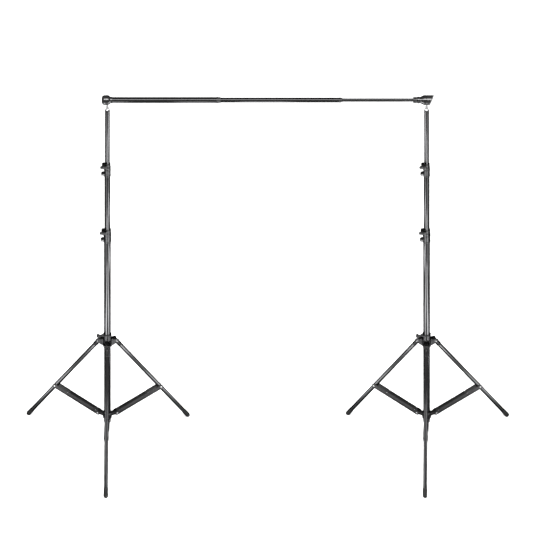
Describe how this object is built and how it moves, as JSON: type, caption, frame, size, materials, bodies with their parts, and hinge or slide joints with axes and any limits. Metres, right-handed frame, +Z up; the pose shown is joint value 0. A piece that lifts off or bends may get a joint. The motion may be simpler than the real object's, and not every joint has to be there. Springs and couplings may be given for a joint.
{
  "type": "background support system",
  "caption": "Freestanding backdrop support: telescopic tripod stands with sliding leg collars carry a telescopic horizontal crossbar on turned studs.",
  "frame": {"origin": "on the floor, at the centre of the footprint of the whole assembly", "axes": "+X along the crossbar from the thick end to the thin end, +Y away from the viewer, +Z up"},
  "size_m": [2.4378, 0.7254, 2.181],
  "materials": {
    "black_tube": "gloss black anodised",
    "leg_tube": "gloss black anodised",
    "moulding": "gloss black moulding",
    "head_plastic": "gloss black moulding",
    "bar_trim": "satin black",
    "knob": "matte dark grey",
    "nylon": "dark nylon",
    "rubber": "matte black",
    "brace_steel": "satin dark grey paint over pressed steel",
    "rivet_steel": "bright zinc",
    "spigot_metal": "turned, satin"
  },
  "bodies": {
    "left_base": {"left_bottom_tube": "black_tube", "left_bottom_plug": "rubber", "left_lower_collar": "moulding", "left_brace_rivets": "rivet_steel", "left_lower_clamp": "moulding"},
    "left_lower_knob": {"left_lower_knob": "knob"},
    "left_mid": {"left_mid_tube": "black_tube", "left_mid_bush": "nylon", "left_upper_clamp": "moulding"},
    "left_upper_knob": {"left_upper_knob": "knob"},
    "left_top": {"left_top_tube": "black_tube", "left_top_bush": "nylon", "left_spigot": "spigot_metal"},
    "left_collar": {"left_leg_collar": "moulding", "left_leg_bolts": "rivet_steel"},
    "left_collar_knob": {"left_collar_knob": "knob"},
    "left_leg_front": {"left_leg_front": "leg_tube", "left_foot_front": "rubber"},
    "left_brace_front": {"left_brace_front": "brace_steel"},
    "left_leg_left": {"left_leg_left": "leg_tube", "left_foot_left": "rubber"},
    "left_brace_left": {"left_brace_left": "brace_steel"},
    "left_leg_right": {"left_leg_right": "leg_tube", "left_foot_right": "rubber"},
    "left_brace_right": {"left_brace_right": "brace_steel"},
    "right_base": {"right_bottom_tube": "black_tube", "right_bottom_plug": "rubber", "right_lower_collar": "moulding", "right_brace_rivets": "rivet_steel", "right_lower_clamp": "moulding"},
    "right_lower_knob": {"right_lower_knob": "knob"},
    "right_mid": {"right_mid_tube": "black_tube", "right_mid_bush": "nylon", "right_upper_clamp": "moulding"},
    "right_upper_knob": {"right_upper_knob": "knob"},
    "right_top": {"right_top_tube": "black_tube", "right_top_bush": "nylon", "right_spigot": "spigot_metal"},
    "right_collar": {"right_leg_collar": "moulding", "right_leg_bolts": "rivet_steel"},
    "right_collar_knob": {"right_collar_knob": "knob"},
    "right_leg_front": {"right_leg_front": "leg_tube", "right_foot_front": "rubber"},
    "right_brace_front": {"right_brace_front": "brace_steel"},
    "right_leg_left": {"right_leg_left": "leg_tube", "right_foot_left": "rubber"},
    "right_brace_left": {"right_brace_left": "brace_steel"},
    "right_leg_right": {"right_leg_right": "leg_tube", "right_foot_right": "rubber"},
    "right_brace_right": {"right_brace_right": "brace_steel"},
    "bar_outer": {"bar_outer_tube": "black_tube", "bar_joint_ring_a": "bar_trim", "bar_left_head": "head_plastic"},
    "bar_mid": {"bar_mid_tube": "black_tube", "bar_mid_bush": "nylon", "bar_joint_ring_b": "bar_trim"},
    "bar_inner": {"bar_inner_tube": "black_tube", "bar_inner_bush": "nylon", "bar_right_sleeve": "bar_trim", "bar_right_head": "head_plastic"}
  },
  "joints": [
    {"name": "left_tripod_fold", "type": "slide", "parent": "left_base", "child": "left_collar", "axis": [0, 0, 1], "range_m": [0, 0.26811]},
    {"name": "left_leg_front_pivot", "type": "hinge", "parent": "left_collar", "child": "left_leg_front", "pos_m": [-0.81084, 0.06624, 0.634], "axis": [0.9998, -0.0175, 0], "range_deg": [-1, 32.3]},
    {"name": "left_brace_front_pivot", "type": "hinge", "parent": "left_base", "child": "left_brace_front", "pos_m": [-0.81091, 0.06224, 0.178], "axis": [-0.9998, 0.0175, 0], "range_deg": [-1, 71.58]},
    {"name": "left_leg_left_pivot", "type": "hinge", "parent": "left_collar", "child": "left_leg_left", "pos_m": [-0.84947, 0.13592, 0.634], "axis": [-0.515, -0.8572, 0], "range_deg": [-1, 32.3]},
    {"name": "left_brace_left_pivot", "type": "hinge", "parent": "left_base", "child": "left_brace_left", "pos_m": [-0.8529, 0.13798, 0.178], "axis": [0.515, 0.8572, 0], "range_deg": [-1, 71.58]},
    {"name": "left_leg_right_pivot", "type": "hinge", "parent": "left_collar", "child": "left_leg_right", "pos_m": [-0.76981, 0.13453, 0.634], "axis": [-0.4848, 0.8746, 0], "range_deg": [-1, 32.3]},
    {"name": "left_brace_right_pivot", "type": "hinge", "parent": "left_base", "child": "left_brace_right", "pos_m": [-0.76631, 0.13647, 0.178], "axis": [0.4848, -0.8746, 0], "range_deg": [-1, 71.58]},
    {"name": "left_lower_knob_turn", "type": "hinge", "parent": "left_base", "child": "left_lower_knob", "pos_m": [-0.83244, 0.10323, 1.336], "axis": [0, -1, 0], "range_deg": [0, 270]},
    {"name": "left_upper_knob_turn", "type": "hinge", "parent": "left_mid", "child": "left_upper_knob", "pos_m": [-0.82994, 0.10323, 1.75], "axis": [0, -1, 0], "range_deg": [0, 270]},
    {"name": "left_collar_knob_turn", "type": "hinge", "parent": "left_collar", "child": "left_collar_knob", "pos_m": [-0.84057, 0.10685, 0.678], "axis": [-0.9848, -0.1736, 0], "range_deg": [0, 270]},
    {"name": "right_tripod_fold", "type": "slide", "parent": "right_base", "child": "right_collar", "axis": [0, 0, 1], "range_m": [0, 0.26811]},
    {"name": "right_leg_front_pivot", "type": "hinge", "parent": "right_collar", "child": "right_leg_front", "pos_m": [0.80116, 0.06624, 0.634], "axis": [0.9998, -0.0175, 0], "range_deg": [-1, 32.3]},
    {"name": "right_brace_front_pivot", "type": "hinge", "parent": "right_base", "child": "right_brace_front", "pos_m": [0.80109, 0.06224, 0.178], "axis": [-0.9998, 0.0175, 0], "range_deg": [-1, 71.58]},
    {"name": "right_leg_left_pivot", "type": "hinge", "parent": "right_collar", "child": "right_leg_left", "pos_m": [0.76253, 0.13592, 0.634], "axis": [-0.515, -0.8572, 0], "range_deg": [-1, 32.3]},
    {"name": "right_brace_left_pivot", "type": "hinge", "parent": "right_base", "child": "right_brace_left", "pos_m": [0.7591, 0.13798, 0.178], "axis": [0.515, 0.8572, 0], "range_deg": [-1, 71.58]},
    {"name": "right_leg_right_pivot", "type": "hinge", "parent": "right_collar", "child": "right_leg_right", "pos_m": [0.84219, 0.13453, 0.634], "axis": [-0.4848, 0.8746, 0], "range_deg": [-1, 32.3]},
    {"name": "right_brace_right_pivot", "type": "hinge", "parent": "right_base", "child": "right_brace_right", "pos_m": [0.84569, 0.13647, 0.178], "axis": [0.4848, -0.8746, 0], "range_deg": [-1, 71.58]},
    {"name": "right_lower_knob_turn", "type": "hinge", "parent": "right_base", "child": "right_lower_knob", "pos_m": [0.77956, 0.10323, 1.336], "axis": [0, -1, 0], "range_deg": [0, 270]},
    {"name": "right_upper_knob_turn", "type": "hinge", "parent": "right_mid", "child": "right_upper_knob", "pos_m": [0.78206, 0.10323, 1.75], "axis": [0, -1, 0], "range_deg": [0, 270]},
    {"name": "right_collar_knob_turn", "type": "hinge", "parent": "right_collar", "child": "right_collar_knob", "pos_m": [0.77143, 0.10685, 0.678], "axis": [-0.9848, -0.1736, 0], "range_deg": [0, 270]},
    {"name": "left_mid_slide", "type": "slide", "parent": "left_base", "child": "left_mid", "axis": [0, 0, 1], "range_m": [-0.32, 0.35]},
    {"name": "left_top_slide", "type": "slide", "parent": "left_mid", "child": "left_top", "axis": [0, 0, 1], "range_m": [-0.32, 0.35]},
    {"name": "left_bar_swivel", "type": "hinge", "parent": "left_top", "child": "bar_outer", "pos_m": [-0.81004, 0.11223, 2.131], "axis": [0, 0, 1], "range_deg": [-90, 90]},
    {"name": "bar_mid_slide", "type": "slide", "parent": "bar_outer", "child": "bar_mid", "axis": [1, 0, 0], "range_m": [-0.35, 0.06]},
    {"name": "bar_inner_slide", "type": "slide", "parent": "bar_mid", "child": "bar_inner", "axis": [1, 0, 0], "range_m": [-0.2, 0.25]},
    {"name": "right_bar_swivel", "type": "hinge", "parent": "bar_inner", "child": "right_top", "pos_m": [0.80196, 0.11223, 2.131], "axis": [0, 0, 1], "range_deg": [-90, 90]},
    {"name": "right_top_slide", "type": "slide", "parent": "right_top", "child": "right_mid", "axis": [0, 0, -1], "range_m": [-0.32, 0.35]},
    {"name": "right_mid_slide", "type": "slide", "parent": "right_mid", "child": "right_base", "axis": [0, 0, -1], "range_m": [-0.32, 0.35]}
  ],
  "couplings": [
    {"joint": "left_leg_front_pivot", "follows": "left_tripod_fold", "rad_per_m": 2.0373},
    {"joint": "left_brace_front_pivot", "follows": "left_tripod_fold", "rad_per_m": 4.5945},
    {"joint": "left_leg_left_pivot", "follows": "left_tripod_fold", "rad_per_m": 2.0373},
    {"joint": "left_brace_left_pivot", "follows": "left_tripod_fold", "rad_per_m": 4.5945},
    {"joint": "left_leg_right_pivot", "follows": "left_tripod_fold", "rad_per_m": 2.0373},
    {"joint": "left_brace_right_pivot", "follows": "left_tripod_fold", "rad_per_m": 4.5945},
    {"joint": "right_leg_front_pivot", "follows": "right_tripod_fold", "rad_per_m": 2.0373},
    {"joint": "right_brace_front_pivot", "follows": "right_tripod_fold", "rad_per_m": 4.5945},
    {"joint": "right_leg_left_pivot", "follows": "right_tripod_fold", "rad_per_m": 2.0373},
    {"joint": "right_brace_left_pivot", "follows": "right_tripod_fold", "rad_per_m": 4.5945},
    {"joint": "right_leg_right_pivot", "follows": "right_tripod_fold", "rad_per_m": 2.0373},
    {"joint": "right_brace_right_pivot", "follows": "right_tripod_fold", "rad_per_m": 4.5945},
    {"joint": "right_top_slide", "follows": "left_top_slide", "ratio": 1},
    {"joint": "right_mid_slide", "follows": "left_mid_slide", "ratio": 1}
  ]
}
